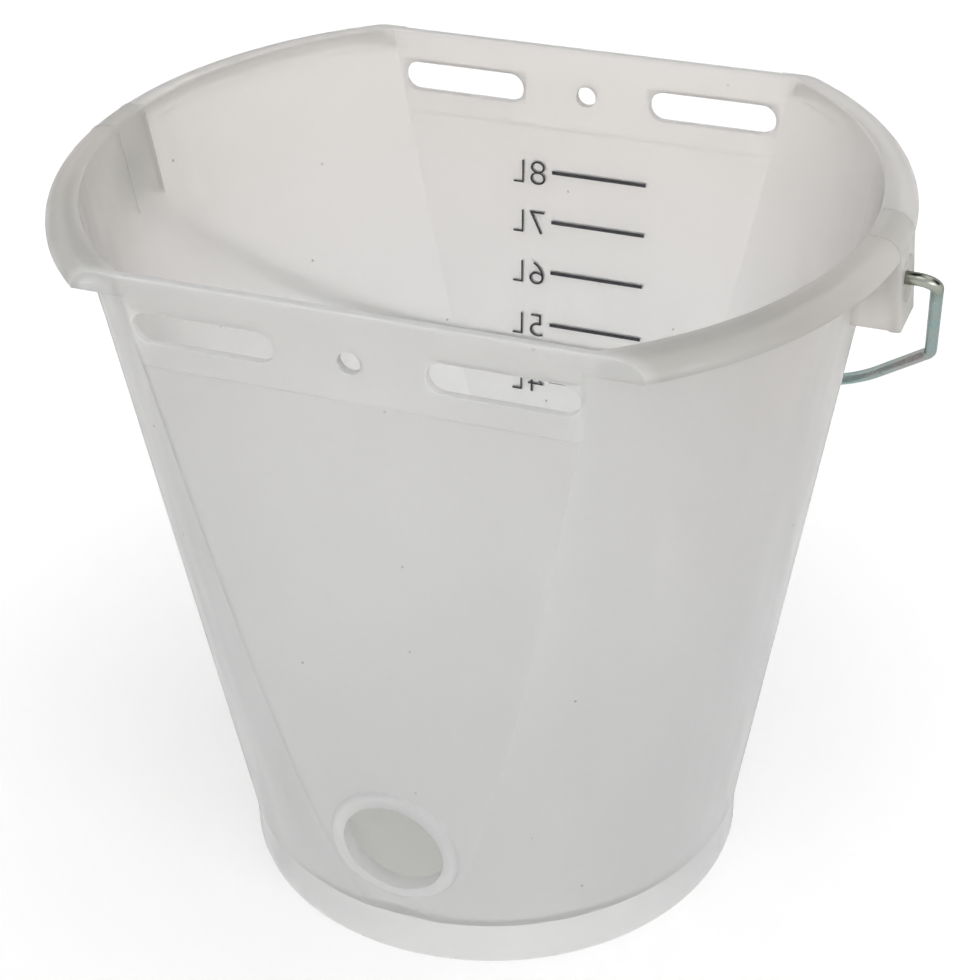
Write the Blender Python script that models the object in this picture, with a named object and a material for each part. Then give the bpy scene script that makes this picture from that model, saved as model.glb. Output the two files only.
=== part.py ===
"""Calf feeding bucket: a moulded eight litre bucket with two flat sides, and its wire bail.

Metres, +Z up. The origin is the middle of the foot, on the ground. The flat sides
face -Y (the teat side) and +Y, and the bail turns about an axis along X.
"""

import math

import bmesh
import bpy
from mathutils import Matrix, Vector

# Body: a cone that two leaning planes cut flat, on a round foot
HEIGHT = 0.2800
CONE_RADIUS = 0.0948          # outer radius of the cone, carried down to the ground
CONE_TOP_RADIUS = 0.13932     # the same at the height of the lip
FLAT_DISTANCE = 0.0958        # distance of a flat side from the middle, at the ground
FLAT_TOP_DISTANCE = 0.11316   # the same at the height of the lip
CREASE_RADIUS = 0.0060        # rounding where a flat side meets the cone
WALL = 0.0020
FOOT_HEIGHT = 0.0185
FOOT_NICK = 0.0007            # the foot is this much slimmer than the cone above it
FOOT_WALL = 0.0022
FOOT_CHAMFER = 0.0008
FLOOR_TOP = 0.0195
FLOOR_THICKNESS = 0.0022
FLOOR_FILLET = 0.0060

# Thick band round the top, and the round rim on the two curved ends
BAND_DEPTH = 0.0337
BAND_STEP = 0.0012
RIM_RADIUS = 0.0071           # radius of the rim's half-round section
RIM_OFFSET = 0.00268          # from the cone at the lip out to the section's centre
RIM_SKIRT = 0.0007            # straight stretch below the half round
RIM_SHELL = 0.0024            # wall of the hollow rim
RIM_ROOT = 0.0003             # ledge between the band and the hollow of the rim
RIM_END_INSET = 0.0002        # the rim's ends stop this far behind the band's face

# Holes in both flat sides, through the band
SLOT_DROP = 0.0183            # from the lip down to the middle of the slots
SLOT_SPACING = 0.1015
SLOT_LENGTH = 0.0500
SLOT_WIDTH = 0.0115
HOLE_DIAMETER = 0.0080

# Teat hole low in the front, through a thickened ring
TEAT_HEIGHT = 0.0545
TEAT_HOLE_DIAMETER = 0.0390
TEAT_BOSS_DIAMETER = 0.0540
TEAT_BOSS_OUT = 0.0024        # how far the ring stands out of the wall
TEAT_BOSS_IN = 0.0022         # how far it stands into the bucket
TEAT_BOSS_CHAMFER = 0.0016

# Ears: two webs and an outer plate under each curved end of the rim
EAR_STAND = 0.0017            # how far the plate's lower edge stands out past the rim
EAR_LEAN = 0.0017             # how much further in the plate's top is
EAR_WIDTH = 0.0214
EAR_DEPTH = 0.0337            # from the lip down to the ear's lower edge
EAR_PLATE = 0.0039            # thickness of the plate at its lower edge
EAR_WEB = 0.0020
EAR_EDGE_RADIUS = 0.0040
EAR_SHOULDER = 0.0010         # slope at the plate's top, where it runs into the rim
RECESS_DIAMETER = 0.0160
RECESS_DEPTH = 0.0012
COLLAR_DIAMETER = 0.0110
COLLAR_HEIGHT = 0.0004        # above the bottom of the recess

# Bail: one zinc plated wire with a flattened head on each end
AXIS_DROP = 0.0185            # from the lip down to the hinge axis
WIRE_DIAMETER = 0.0045
WIRE_CLEARANCE = 0.0004       # between the wire and its hole, all round
HEAD_DIAMETER = 0.0072
HEAD_THICKNESS = 0.0020
HEAD_GAP = 0.0013             # end play between the head and the plate
ARM_GAP = 0.0066              # between the plate and the wire beside it
ARM_LENGTH = 0.0795
ARM_LEAN = 0.0083             # how far each arm leans in over its length
BOW_REACH = 0.1520            # from the axis to the middle of the bow
BOW_SHOULDER = 0.1040         # where the bow's shoulder line would meet its middle line
HINGE_BEND = 0.0065
ARM_BEND = 0.0090
BOW_BEND = 0.0850
REST_GAP = 0.0003             # between the bow and the wall that it hangs against

# Fineness of the solids
ARC_STEPS = 15
FILLET_STEPS = 3
FLAT_STEPS = 4
WALL_LEVELS = 8
FLOOR_STEPS = 3
RIM_STEPS = 7
TURN_STEPS = 96
HOLE_STEPS = 24
BEND_STEP = math.radians(11)
OVERCUT = 0.010               # how far a cutter runs past what it cuts

CONE_TAPER = (CONE_TOP_RADIUS - CONE_RADIUS) / HEIGHT
FLAT_TAPER = (FLAT_TOP_DISTANCE - FLAT_DISTANCE) / HEIGHT
BAND_BOTTOM = HEIGHT - BAND_DEPTH
SLOT_HEIGHT = HEIGHT - SLOT_DROP
AXIS_HEIGHT = HEIGHT - AXIS_DROP
RIM_CENTRE = CONE_TOP_RADIUS + RIM_OFFSET
RIM_CENTRE_HEIGHT = HEIGHT - RIM_RADIUS
RIM_BOTTOM = RIM_CENTRE_HEIGHT - RIM_SKIRT
EAR_REACH = RIM_CENTRE + RIM_RADIUS + EAR_STAND
EAR_BOTTOM = HEIGHT - EAR_DEPTH
EAR_TOP = RIM_CENTRE_HEIGHT + RIM_SKIRT


def cone_at(z):
    return CONE_RADIUS + CONE_TAPER * z


def flat_at(z):
    return FLAT_DISTANCE + FLAT_TAPER * z


def quarter(z, offset, crease):
    """A quarter of the wall's outline at height z, from +X round to +Y."""
    radius = cone_at(z) + offset
    flat = min(flat_at(z) + offset, radius)
    centre_y = flat - crease
    centre_x = math.sqrt(max((radius - crease) ** 2 - centre_y ** 2, 0.0))
    turn = math.atan2(centre_y, centre_x)
    points = []
    for i in range(ARC_STEPS):
        angle = turn * i / ARC_STEPS
        points.append((radius * math.cos(angle), radius * math.sin(angle)))
    for i in range(FILLET_STEPS + 1):
        angle = turn + (math.pi / 2 - turn) * i / FILLET_STEPS
        points.append((centre_x + crease * math.cos(angle), centre_y + crease * math.sin(angle)))
    for i in range(1, FLAT_STEPS + 1):
        points.append((centre_x * (1 - i / FLAT_STEPS), flat))
    return points


def outline(z, offset=0.0, crease=CREASE_RADIUS):
    """The whole outline at height z, anticlockwise, as (x, y) pairs."""
    first = quarter(z, offset, crease)
    second = [(-x, y) for x, y in reversed(first[:-1])]
    upper = first + second
    lower = [(-x, -y) for x, y in upper[1:-1]]
    return upper + lower


def level(points, z):
    return [Vector((x, y, z)) for x, y in points]


def round_level(z, radius):
    """A circle with its points at the same bearings as the outline above the foot."""
    ring = outline(FOOT_HEIGHT)
    return [Vector((radius * x, radius * y, 0.0)) / math.hypot(x, y) + Vector((0, 0, z)) for x, y in ring]


def material(name, color, roughness, metallic=0.0, alpha=1.0):
    made = bpy.data.materials.new(name)
    made.use_nodes = True
    shader = made.node_tree.nodes["Principled BSDF"]
    shader.inputs["Base Color"].default_value = (*color, 1.0)
    shader.inputs["Roughness"].default_value = roughness
    shader.inputs["Metallic"].default_value = metallic
    shader.inputs["Alpha"].default_value = alpha
    return made


def add_object(name, bm):
    """Put a bmesh in the scene as an object, with its faces turned outward."""
    bmesh.ops.remove_doubles(bm, verts=bm.verts, dist=1e-6)
    bmesh.ops.recalc_face_normals(bm, faces=bm.faces)
    mesh = bpy.data.meshes.new(name)
    bm.to_mesh(mesh)
    bm.free()
    made = bpy.data.objects.new(name, mesh)
    bpy.context.scene.collection.objects.link(made)
    return made


def tool(name, bm):
    """An object that only shapes another one."""
    made = add_object(name, bm)
    made.hide_render = True
    made.display_type = "WIRE"
    return made


def loft(bm, rings):
    """Join closed rings of equal length into one closed body."""
    loops = [[bm.verts.new(point) for point in ring] for ring in rings]
    count = len(loops[0])
    for low, high in zip(loops, loops[1:]):
        for i in range(count):
            j = (i + 1) % count
            bm.faces.new((low[i], low[j], high[j], high[i]))
    bm.faces.new(list(reversed(loops[0])))
    bm.faces.new(loops[-1])


def turned(bm, profile, steps=TURN_STEPS):
    """Turn a closed profile of (radius, height) points about Z."""
    rings = []
    for k in range(steps):
        angle = math.tau * k / steps
        spoke = Vector((math.cos(angle), math.sin(angle), 0.0))
        rings.append([bm.verts.new(spoke * r + Vector((0, 0, z))) for r, z in profile])
    count = len(profile)
    for k in range(steps):
        here, there = rings[k], rings[(k + 1) % steps]
        for i in range(count):
            j = (i + 1) % count
            bm.faces.new((here[i], there[i], there[j], here[j]))


def prism(bm, points, place, depth):
    """Extrude a closed outline of (x, y) points along its own +Z, then put it in place."""
    rings = [[place @ Vector((x, y, z)) for x, y in points] for z in (0.0, depth)]
    loft(bm, rings)


def disc(radius, steps=HOLE_STEPS):
    return [(radius * math.cos(math.tau * i / steps), radius * math.sin(math.tau * i / steps))
            for i in range(steps)]


def cut_flat(bm, point, normal):
    """Cut away what lies on the normal's side of a plane, and close the cut."""
    geometry = bm.verts[:] + bm.edges[:] + bm.faces[:]
    cut = bmesh.ops.bisect_plane(bm, geom=geometry, plane_co=point, plane_no=normal,
                                 dist=1e-7, clear_outer=True)
    edges = [item for item in cut["geom_cut"] if isinstance(item, bmesh.types.BMEdge)]
    bmesh.ops.holes_fill(bm, edges=edges, sides=0)


def side_plane(offset, side):
    """A point and the outward normal of the flat side's plane, moved out by offset."""
    return Vector((0, side * (FLAT_DISTANCE + offset), 0)), Vector((0, side, -FLAT_TAPER)).normalized()


def block():
    """The body's outer form, with no hollow yet."""
    crease_out = CREASE_RADIUS + BAND_STEP
    foot = cone_at(FOOT_HEIGHT) - FOOT_NICK
    rings = [round_level(0.0, foot - FOOT_CHAMFER), round_level(FOOT_CHAMFER, foot),
             round_level(FOOT_HEIGHT, foot)]
    for i in range(WALL_LEVELS + 1):
        z = FOOT_HEIGHT + (BAND_BOTTOM - FOOT_HEIGHT) * i / WALL_LEVELS
        rings.append(level(outline(z), z))
    for z in (BAND_BOTTOM, RIM_CENTRE_HEIGHT):
        rings.append(level(outline(z, BAND_STEP, crease_out), z))
    # The lip stands to full height on the flat sides and ends under the rim elsewhere
    under_rim = RIM_CENTRE_HEIGHT + RIM_RADIUS * 0.3
    for inset in (0.0, 2 * (WALL + BAND_STEP)):
        ring = []
        shape = outline(HEIGHT, BAND_STEP - inset, crease_out)
        flat = flat_at(HEIGHT) + BAND_STEP - inset
        for x, y in shape:
            on_flat = abs(abs(y) - flat) < 1e-6
            ring.append(Vector((x, y, HEIGHT if on_flat else under_rim)))
        rings.append(ring)
    rings.append(level(outline(HEIGHT, -4 * WALL), under_rim))
    bm = bmesh.new()
    loft(bm, rings)
    return add_object("bucket_body", bm)


def cavity():
    """The inside, from the floor to above the rim."""
    rings = []
    for i in range(FLOOR_STEPS + 1):
        angle = math.pi / 2 * i / FLOOR_STEPS
        z = FLOOR_TOP + FLOOR_FILLET * (1 - math.cos(angle))
        inset = WALL + FLOOR_FILLET * (1 - math.sin(angle))
        rings.append(level(outline(z, -inset), z))
    start = FLOOR_TOP + FLOOR_FILLET
    top = HEIGHT + OVERCUT
    for i in range(1, WALL_LEVELS + 1):
        z = start + (top - start) * i / WALL_LEVELS
        rings.append(level(outline(z, -WALL), z))
    bm = bmesh.new()
    loft(bm, rings)
    return tool("cavity_cutter", bm)


def foot_well():
    radius = cone_at(FOOT_HEIGHT) - FOOT_NICK - FOOT_WALL
    bm = bmesh.new()
    loft(bm, [round_level(-OVERCUT, radius), round_level(FLOOR_TOP - FLOOR_THICKNESS, radius)])
    return tool("foot_well_cutter", bm)


def rim():
    """The half-round rim, cut flush with the band on both flat sides."""
    profile = [(RIM_CENTRE - RIM_RADIUS, RIM_BOTTOM), (RIM_CENTRE + RIM_RADIUS, RIM_BOTTOM)]
    for i in range(RIM_STEPS + 1):
        angle = math.pi * i / RIM_STEPS
        profile.append((RIM_CENTRE + RIM_RADIUS * math.cos(angle),
                        RIM_CENTRE_HEIGHT + RIM_RADIUS * math.sin(angle)))
    bm = bmesh.new()
    turned(bm, profile)
    for side in (-1, 1):
        cut_flat(bm, *side_plane(BAND_STEP - RIM_END_INSET, side))
    return tool("rim_form", bm)


def vault(inner, outer):
    """The arched top of a hollow under the rim, from its outer to its inner foot."""
    middle = (inner + outer) / 2
    half = (outer - inner) / 2
    tall = HEIGHT - RIM_SHELL - RIM_BOTTOM
    points = []
    for i in range(RIM_STEPS + 1):
        angle = math.pi * i / RIM_STEPS
        points.append((middle + half * math.cos(angle), RIM_BOTTOM + tall * math.sin(angle)))
    return points


def rim_hollow():
    """The hollow under the rim, between its end walls and the webs of the ears."""
    inner = cone_at(RIM_BOTTOM) + BAND_STEP + RIM_ROOT
    outer = RIM_CENTRE + RIM_RADIUS - RIM_SHELL
    low = RIM_BOTTOM - OVERCUT
    profile = [(inner, low), (outer, low)] + vault(inner, outer)
    bm = bmesh.new()
    for side in (-1, 1):
        part = bmesh.new()
        turned(part, profile)
        cut_flat(part, *side_plane(BAND_STEP - RIM_SHELL, side))
        cut_flat(part, Vector((0, side * EAR_WIDTH / 2, 0)), Vector((0, -side, 0)))
        mesh = bpy.data.meshes.new("rim_hollow_half")
        part.to_mesh(mesh)
        part.free()
        bm.from_mesh(mesh)
        bpy.data.meshes.remove(mesh)
    return tool("rim_hollow_cutter", bm)


def on_side(side, x, y, z):
    """A frame whose +Z points outward along X on the given side, and whose +Y points up."""
    outward = Vector((side, 0, 0))
    up = Vector((0, 0, 1))
    across = up.cross(outward)
    turn = Matrix((across, up, outward)).transposed().to_4x4()
    return Matrix.Translation((side * x, y, z)) @ turn


def across_y(y):
    """A frame whose own x, y and z run along X, Z and -Y, starting at the given y."""
    return Matrix.Translation((0, y, 0)) @ Matrix.Rotation(math.pi / 2, 4, "X")


def mirrored_x(points):
    return [(-x, z) for x, z in reversed(points)]


def ear_plan(inset):
    """The ear seen from above, as (x, y) points, with its outer face drawn in by inset."""
    half = EAR_WIDTH / 2
    root = cone_at(EAR_BOTTOM) + BAND_STEP - WALL
    plan = [(root, -half)]
    for i in range(FILLET_STEPS + 1):
        angle = math.pi / 2 * (i / FILLET_STEPS - 1)
        plan.append((EAR_REACH - inset - EAR_EDGE_RADIUS * (1 - math.cos(angle)),
                     -half + EAR_EDGE_RADIUS * (1 + math.sin(angle))))
    return plan + [(x, -y) for x, y in reversed(plan)]


def ears():
    """Solid blocks that the ears are cut from."""
    levels = ((EAR_BOTTOM, 0.0), (EAR_TOP - EAR_SHOULDER, EAR_LEAN),
              (EAR_TOP, EAR_LEAN + EAR_SHOULDER))
    bm = bmesh.new()
    for side in (-1, 1):
        loft(bm, [[Vector((side * x, side * y, z)) for x, y in ear_plan(inset)]
                  for z, inset in levels])
    return tool("ear_form", bm)


def ear_hollows():
    """The space between the webs, behind the plate, open below."""
    half = EAR_WIDTH / 2 - EAR_WEB
    low = EAR_BOTTOM - OVERCUT
    plate = EAR_REACH - EAR_PLATE
    gap = BAND_STEP + RIM_ROOT
    section = [(cone_at(low) + gap, low), (plate, low)] + vault(cone_at(RIM_BOTTOM) + gap, plate)
    bm = bmesh.new()
    for points in (section, mirrored_x(section)):
        prism(bm, points, across_y(half), 2 * half)
    return tool("ear_hollow_cutter", bm)


def wire_holes():
    bm = bmesh.new()
    radius = WIRE_DIAMETER / 2 + WIRE_CLEARANCE
    for side in (-1, 1):
        place = on_side(side, EAR_REACH - 2 * EAR_PLATE + EAR_PLATE / 3, 0, AXIS_HEIGHT)
        prism(bm, disc(radius, HOLE_STEPS // 2), place, 3 * EAR_PLATE)
    return tool("wire_hole_cutter", bm)


def ear_recesses():
    """A round recess in each plate, with a low collar round the wire's hole."""
    share = (AXIS_HEIGHT - EAR_BOTTOM) / (EAR_TOP - EAR_SHOULDER - EAR_BOTTOM)
    face = EAR_REACH - EAR_LEAN * share
    stations = ((COLLAR_DIAMETER / 2, COLLAR_HEIGHT), (COLLAR_DIAMETER / 2, 0.0),
                (RECESS_DIAMETER / 2, 0.0), (RECESS_DIAMETER / 2, OVERCUT))
    bm = bmesh.new()
    for side in (-1, 1):
        place = on_side(side, face - RECESS_DEPTH, 0, AXIS_HEIGHT)
        loft(bm, [[place @ Vector((x, y, z)) for x, y in disc(radius)] for radius, z in stations])
    return tool("ear_recess_cutter", bm)


def slot_shape(centre):
    """A slot with round ends, as (x, z) points."""
    radius = SLOT_WIDTH / 2
    run = SLOT_LENGTH / 2 - radius
    steps = HOLE_STEPS // 2
    points = []
    for end in (1, -1):
        for i in range(steps + 1):
            angle = math.pi * i / steps - math.pi / 2
            points.append((centre + end * (run + radius * math.cos(angle)),
                           SLOT_HEIGHT + end * radius * math.sin(angle)))
    return points


def side_holes():
    """The slots and the round hole between them, through both flat sides."""
    reach = flat_at(HEIGHT) + OVERCUT
    shapes = [slot_shape(side * SLOT_SPACING / 2) for side in (-1, 1)]
    shapes.append([(x, SLOT_HEIGHT + z) for x, z in disc(HOLE_DIAMETER / 2)])
    bm = bmesh.new()
    for shape in shapes:
        prism(bm, shape, across_y(reach), 2 * reach)
    return tool("side_hole_cutter", bm)


def teat_frame(depth):
    """A frame on the front's outer face at the teat, moved out by depth, +Z outward."""
    normal = Vector((0, -1, -FLAT_TAPER)).normalized()
    centre = Vector((0, -flat_at(TEAT_HEIGHT), TEAT_HEIGHT)) + normal * depth
    turn = normal.to_track_quat("Z", "Y").to_matrix().to_4x4()
    return Matrix.Translation(centre) @ turn


def teat_boss():
    """The thick ring round the teat hole, standing out of both faces of the wall."""
    radius = TEAT_BOSS_DIAMETER / 2
    back = -(WALL + TEAT_BOSS_IN)
    place = teat_frame(0.0)
    stations = ((back, TEAT_BOSS_CHAMFER), (back + TEAT_BOSS_CHAMFER, 0.0),
                (TEAT_BOSS_OUT - TEAT_BOSS_CHAMFER, 0.0), (TEAT_BOSS_OUT, TEAT_BOSS_CHAMFER))
    bm = bmesh.new()
    loft(bm, [[place @ Vector((x, y, z)) for x, y in disc(radius - inset, 2 * HOLE_STEPS)]
              for z, inset in stations])
    return tool("teat_boss_form", bm)


def teat_hole():
    bm = bmesh.new()
    depth = WALL + TEAT_BOSS_IN + TEAT_BOSS_OUT + 2 * OVERCUT
    prism(bm, disc(TEAT_HOLE_DIAMETER / 2, 2 * HOLE_STEPS),
          teat_frame(-(WALL + TEAT_BOSS_IN + OVERCUT)), depth)
    return tool("teat_hole_cutter", bm)


def shape_with(target, other, operation):
    step = target.modifiers.new(other.name, "BOOLEAN")
    step.object = other
    step.operation = operation
    step.solver = "EXACT"


def finish(made, surface):
    made.data.materials.append(surface)


def bucket():
    body = block()
    shape_with(body, rim(), "UNION")
    shape_with(body, ears(), "UNION")
    shape_with(body, cavity(), "DIFFERENCE")
    shape_with(body, teat_boss(), "UNION")
    for make in (foot_well, rim_hollow, ear_hollows, wire_holes, ear_recesses, side_holes, teat_hole):
        shape_with(body, make(), "DIFFERENCE")
    finish(body, material("natural_plastic", (0.78, 0.78, 0.76), 0.45))
    body.data.shade_smooth()
    body.data.set_sharp_from_angle(angle=math.radians(30))
    return body


def bend(corner, before, after, radius):
    """Points of a round bend of the given radius at a corner."""
    a = (before - corner).normalized()
    b = (after - corner).normalized()
    between = a.angle(b)
    reach = radius / math.tan(between / 2)
    centre = corner + (a + b).normalized() * (radius / math.sin(between / 2))
    start = corner + a * reach - centre
    end = corner + b * reach - centre
    sweep = math.pi - between
    count = max(2, math.ceil(sweep / BEND_STEP))
    points = []
    for i in range(count + 1):
        share = i / count
        points.append(centre + start * (math.sin(sweep * (1 - share)) / math.sin(sweep))
                      + end * (math.sin(sweep * share) / math.sin(sweep)))
    return points


def bail_route():
    """Half of the wire's centre line as (point, relative thickness), head to middle."""
    plate_inside = EAR_REACH - EAR_PLATE
    arm = EAR_REACH + ARM_GAP + WIRE_DIAMETER / 2
    hinge = Vector((arm, 0, 0))
    elbow = Vector((arm - ARM_LEAN, 0, -ARM_LENGTH))
    shoulder = Vector((BOW_SHOULDER, 0, -BOW_REACH))
    middle = Vector((0, 0, -BOW_REACH))
    neck = plate_inside - HEAD_GAP
    thick = HEAD_DIAMETER / WIRE_DIAMETER
    edge = HEAD_THICKNESS / 8
    start = Vector((neck, 0, 0))
    route = [(Vector((neck - HEAD_THICKNESS, 0, 0)), thick * 0.8),
             (Vector((neck - HEAD_THICKNESS + 2 * edge, 0, 0)), thick),
             (Vector((neck - edge, 0, 0)), thick), (start, 1.0)]
    smooth = bend(hinge, start, elbow, HINGE_BEND) + bend(elbow, hinge, shoulder, ARM_BEND)
    smooth += bend(shoulder, elbow, middle, BOW_BEND)
    return route + [(point, 1.0) for point in smooth]


def rest_angle():
    """How far the bail stands off the vertical when its bow rests on the back wall."""
    lean = math.atan(FLAT_TAPER)
    to_wall = flat_at(AXIS_HEIGHT) * math.cos(lean)
    return math.asin((to_wall + WIRE_DIAMETER / 2 + REST_GAP) / BOW_REACH) - lean


def bail():
    half = bail_route()
    whole = half + [(Vector((-p.x, p.y, p.z)), size) for p, size in reversed(half)]
    curve = bpy.data.curves.new("bail", "CURVE")
    curve.dimensions = "3D"
    curve.bevel_depth = WIRE_DIAMETER / 2
    curve.bevel_resolution = 4
    curve.use_fill_caps = True
    spline = curve.splines.new("POLY")
    spline.points.add(len(whole) - 1)
    for point, (place, size) in zip(spline.points, whole):
        point.co = (*place, 1.0)
        point.radius = size
    made = bpy.data.objects.new("bail", curve)
    bpy.context.scene.collection.objects.link(made)
    made.location = (0, 0, AXIS_HEIGHT)
    made.rotation_euler = (rest_angle(), 0, 0)
    finish(made, material("zinc_plated_wire", (0.52, 0.60, 0.58), 0.28, 1.0))
    return made


def main():
    for old in list(bpy.data.objects):
        bpy.data.objects.remove(old, do_unlink=True)
    bucket()
    bail()


main()
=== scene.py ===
"""Looks of the calf feeding bucket: moulded body, printed scale, wire bail and stage.

Everything is in metres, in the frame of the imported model. The front flat side with the teat
hole faces -Y, and the bail turns about an axis along X.
"""

import math

import bmesh
import bpy
from bmesh.types import BMEdge, BMFace, BMVert
from mathutils import Matrix, Vector


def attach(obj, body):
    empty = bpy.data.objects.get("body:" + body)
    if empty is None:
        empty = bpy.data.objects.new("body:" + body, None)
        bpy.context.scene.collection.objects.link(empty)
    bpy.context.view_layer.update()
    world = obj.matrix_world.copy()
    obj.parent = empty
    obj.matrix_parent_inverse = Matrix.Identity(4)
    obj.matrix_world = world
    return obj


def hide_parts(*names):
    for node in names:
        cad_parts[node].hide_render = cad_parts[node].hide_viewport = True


bl_info = {
    "name": "Calf Feeding Bucket",
    "version": (1, 0, 0),
    "blender": (4, 5, 0),
    "location": "3D View > Sidebar > Bucket",
    "description": "Models a translucent calf feeding bucket with a litre scale and a wire bail",
    "category": "Object",
}

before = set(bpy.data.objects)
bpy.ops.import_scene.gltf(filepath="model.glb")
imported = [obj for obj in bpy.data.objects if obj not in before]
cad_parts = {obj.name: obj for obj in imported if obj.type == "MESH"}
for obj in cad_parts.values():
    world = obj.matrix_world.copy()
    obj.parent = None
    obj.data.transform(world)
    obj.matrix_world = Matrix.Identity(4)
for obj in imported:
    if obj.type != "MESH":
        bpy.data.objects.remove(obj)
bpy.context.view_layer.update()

ROUND_STEPS = 240  # sides of everything that runs round the bucket
SNAP = 1e-6  # corners this close count as one
UP = Vector((0, 0, 1))


# Sizes and colours that a user would change

def length(name, description, default):
    return bpy.props.FloatProperty(name=name, description=description, default=default,
                                   precision=5, unit="LENGTH")


def share(name, description, default):
    return bpy.props.FloatProperty(name=name, description=description, default=default,
                                   min=0.0, max=1.0, subtype="FACTOR")


def colour(name, description, default):
    return bpy.props.FloatVectorProperty(name=name, description=description, default=default,
                                         size=3, min=0.0, max=1.0, subtype="COLOR")


class BucketBodySizes(bpy.types.PropertyGroup):
    """Sizes of the moulded body."""
    height: length("Height", "From the ground to the lip", 0.2800)
    cone_radius: length("Cone radius", "Outer radius of the wall, carried to the ground", 0.0948)
    cone_top_radius: length("Cone top radius", "Outer radius of the wall at the lip", 0.13932)
    flat_distance: length("Flat distance", "From the middle to a flat side, at the ground", 0.0958)
    flat_top_distance: length("Flat top distance", "The same at the lip", 0.11316)
    crease: length("Crease", "Width of the soft edge beside each flat side", 0.0034)
    wall: length("Wall", "Thickness of the wall", 0.0020)
    foot_height: length("Foot height", "Height of the round foot", 0.0185)
    foot_nick: length("Foot nick", "How much slimmer the foot is than the wall above it", 0.0007)
    foot_wall: length("Foot wall", "Thickness of the foot", 0.0022)
    floor_top: length("Floor top", "Height of the inside floor", 0.0195)
    floor_thickness: length("Floor thickness", "Thickness of the floor", 0.0022)
    floor_fillet: length("Floor fillet", "Rounding between floor and wall", 0.0060)
    band_depth: length("Band depth", "Depth of the thick band below the lip", 0.0337)
    band_step: length("Band step", "How far the band stands out of each flat side", 0.0012)
    lip_round: length("Lip rounding", "Rounding of the lip's inner edge", 0.0010)


class BucketRimSizes(bpy.types.PropertyGroup):
    """Sizes of the rim and the ears."""
    radius: length("Rim radius", "Radius of the half-round section", 0.0071)
    offset: length("Rim offset", "From the cone at the lip out to the section's centre", 0.00268)
    skirt: length("Skirt", "Straight stretch below the half round", 0.0007)
    shell: length("Shell", "Wall of the hollow rim", 0.0024)
    end_skin: length("End skin", "Thickness of the half round wall at each end", 0.0012)
    ear_stand: length("Ear stand", "How far the plate's lower edge stands out past the rim", 0.0017)
    ear_lean: length("Ear lean", "How much further in the plate's top is", 0.0017)
    ear_width: length("Ear width", "Width of an ear", 0.0214)
    ear_depth: length("Ear depth", "From the lip down to the ear's lower edge", 0.0337)
    ear_plate: length("Ear plate", "Thickness of the plate at its lower edge", 0.0039)
    ear_web: length("Ear web", "Thickness of each web", 0.0020)
    web_inset: length("Web inset", "How far a web lies behind the plate's side", 0.0004)
    ridge: length("Ridge", "Height of the fine ridges over the rim at each web", 0.00025)
    sink: length("Sink line", "Width of the sink line inside the wall at each web", 0.0009)
    ear_corner: length("Ear corner", "Rounding of the plate's corners", 0.0014)
    recess_diameter: length("Recess", "Diameter of the recess round the wire", 0.0160)
    recess_depth: length("Recess depth", "Depth of that recess", 0.0012)
    collar_diameter: length("Collar", "Diameter of the collar in the recess", 0.0110)
    collar_height: length("Collar height", "Height of that collar", 0.0004)


class BucketHoleSizes(bpy.types.PropertyGroup):
    """Sizes of the slots and holes."""
    slot_drop: length("Slot drop", "From the lip to the middle of the slots", 0.0183)
    slot_spacing: length("Slot spacing", "Between the middles of two slots", 0.1015)
    slot_length: length("Slot length", "Length of a slot", 0.0500)
    slot_width: length("Slot width", "Width of a slot", 0.0115)
    hole_diameter: length("Hole", "Diameter of the hole between the slots", 0.0080)
    teat_height: length("Teat height", "Height of the teat hole", 0.0545)
    teat_diameter: length("Teat hole", "Diameter of the teat hole", 0.0390)
    ring_diameter: length("Ring", "Outer diameter of the ring round it", 0.0540)
    ring_slope: length("Ring slope", "How much narrower the ring is at its face", 0.0030)
    edge_round: length("Edge rounding", "Rounding of the edges of slots and holes", 0.0005)
    ring_out: length("Ring outside", "How far the ring stands out of the wall", 0.0024)
    ring_in: length("Ring inside", "How far it stands into the bucket", 0.0022)
    ring_chamfer: length("Ring chamfer", "Softening of the ring's edges", 0.0016)


class BucketBailSizes(bpy.types.PropertyGroup):
    """Sizes of the wire bail."""
    axis_drop: length("Axis drop", "From the lip to the hinge axis", 0.0185)
    wire: length("Wire", "Diameter of the wire", 0.0045)
    head_diameter: length("Head", "Diameter of the flattened head", 0.0072)
    head_thickness: length("Head thickness", "Thickness of that head", 0.0020)
    head_reach: length("Head reach", "From the middle to the head's outer face", 0.1456)
    arm_reach: length("Arm reach", "From the middle to the wire beside the ear", 0.15965)
    arm_length: length("Arm length", "Length of each straight arm", 0.0789)
    arm_lean: length("Arm lean", "How far each arm leans in", 0.0092)
    bow_reach: length("Bow reach", "From the axis to the middle of the bow", 0.1540)
    bow_shoulder: length("Bow shoulder", "Where the shoulder line meets the middle line", 0.1018)
    hinge_bend: length("Hinge bend", "Radius of the bend beside the ear", 0.0065)
    arm_bend: length("Arm bend", "Radius of the bend below each arm", 0.0130)
    bow_bend: length("Bow bend", "Radius of the wide bends of the bow", 0.0850)
    rest_gap: length("Rest gap", "Between the bow and the wall it hangs against", 0.0003)


class BucketScaleSizes(bpy.types.PropertyGroup):
    """Sizes of the printed scale."""
    line_start: length("Line start", "Where each line starts, along X", -0.0134)
    line_end: length("Line end", "Where each line ends, along X", 0.0255)
    line_width: length("Line width", "Thickness of each printed line", 0.0014)
    digit_height: length("Digit height", "Height of the digits", 0.0107)
    stroke_trim: length("Stroke trim", "How much thinner the strokes are than the type's", 0.0003)
    ink: length("Ink", "Thickness of the ink", 0.00004)


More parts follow.
